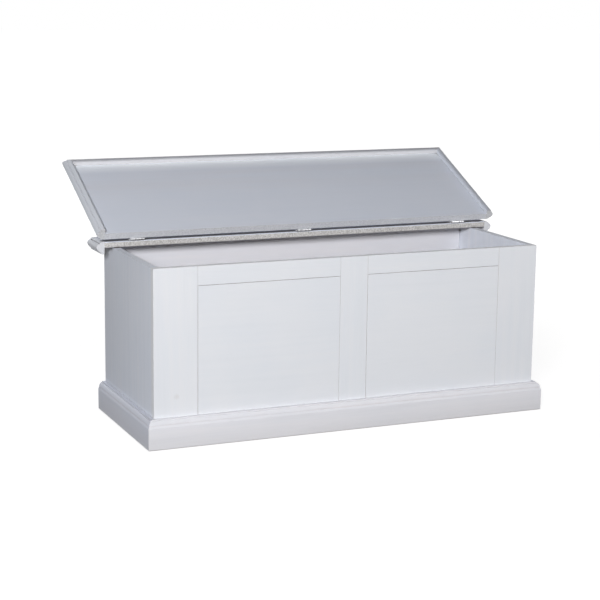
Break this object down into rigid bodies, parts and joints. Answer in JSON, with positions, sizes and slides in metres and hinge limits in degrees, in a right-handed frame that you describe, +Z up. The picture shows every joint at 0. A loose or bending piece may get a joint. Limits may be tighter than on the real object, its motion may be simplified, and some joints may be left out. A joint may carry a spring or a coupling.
{
  "type": "blanket chest",
  "caption": "Low rectangular wooden blanket chest with a framed and panelled front, moulded plinth, fixed rear top rail and a lipped lid standing open on butt hinges.",
  "frame": {"origin": "on the floor, in the middle of the back face's lower edge", "axes": "+X to the right as seen from the front, +Y to the back, +Z up"},
  "size_m": [1.196, 0.6812, 0.6636],
  "materials": {
    "white_paint": "thin white paint on pine, satin, grain showing faintly",
    "bare_pine": "bare pine, matt",
    "steel": "bright steel, satin"
  },
  "bodies": {
    "carcass": {"front_left_stile": "white_paint", "front_centre_stile": "white_paint", "front_right_stile": "white_paint", "front_left_top_rail": "white_paint", "front_right_top_rail": "white_paint", "front_left_bottom_rail": "white_paint", "front_right_bottom_rail": "white_paint", "front_left_panel": "white_paint", "front_right_panel": "white_paint", "left_side": "white_paint", "right_side": "white_paint", "back_panel": "white_paint", "bottom_board_1": "white_paint", "bottom_board_2": "white_paint", "bottom_board_3": "white_paint", "bottom_board_4": "white_paint", "bottom_board_5": "white_paint", "bottom_board_6": "white_paint", "bottom_board_7": "white_paint", "bottom_board_8": "white_paint", "front_cleat": "bare_pine", "back_cleat": "bare_pine", "left_cleat": "bare_pine", "right_cleat": "bare_pine", "plinth_front": "white_paint", "plinth_left": "white_paint", "plinth_right": "white_paint", "rear_rail": "white_paint", "rear_rail_left_moulding": "white_paint", "rear_rail_right_moulding": "white_paint", "hinge_left_rail_leaf": "steel", "hinge_centre_rail_leaf": "steel", "hinge_right_rail_leaf": "steel", "hinge_left_pin": "steel", "hinge_centre_pin": "steel", "hinge_right_pin": "steel", "plinth_screws": "steel", "cleat_screws": "steel", "bottom_screws": "steel", "carcass_dowels": "bare_pine", "rear_rail_dowels": "bare_pine", "rail_hinge_screws": "steel"},
    "lid": {"lid_panel": "white_paint", "lid_front_moulding": "white_paint", "lid_left_moulding": "white_paint", "lid_right_moulding": "white_paint", "hinge_left_lid_leaf": "steel", "hinge_centre_lid_leaf": "steel", "hinge_right_lid_leaf": "steel", "lid_hinge_screws": "steel"}
  },
  "joints": [
    {"name": "lid_hinge", "type": "hinge", "parent": "carcass", "child": "lid", "pos_m": [0, -0.0905, 0.4813], "axis": [1, 0, 0], "range_deg": [0, 155.3]}
  ]
}
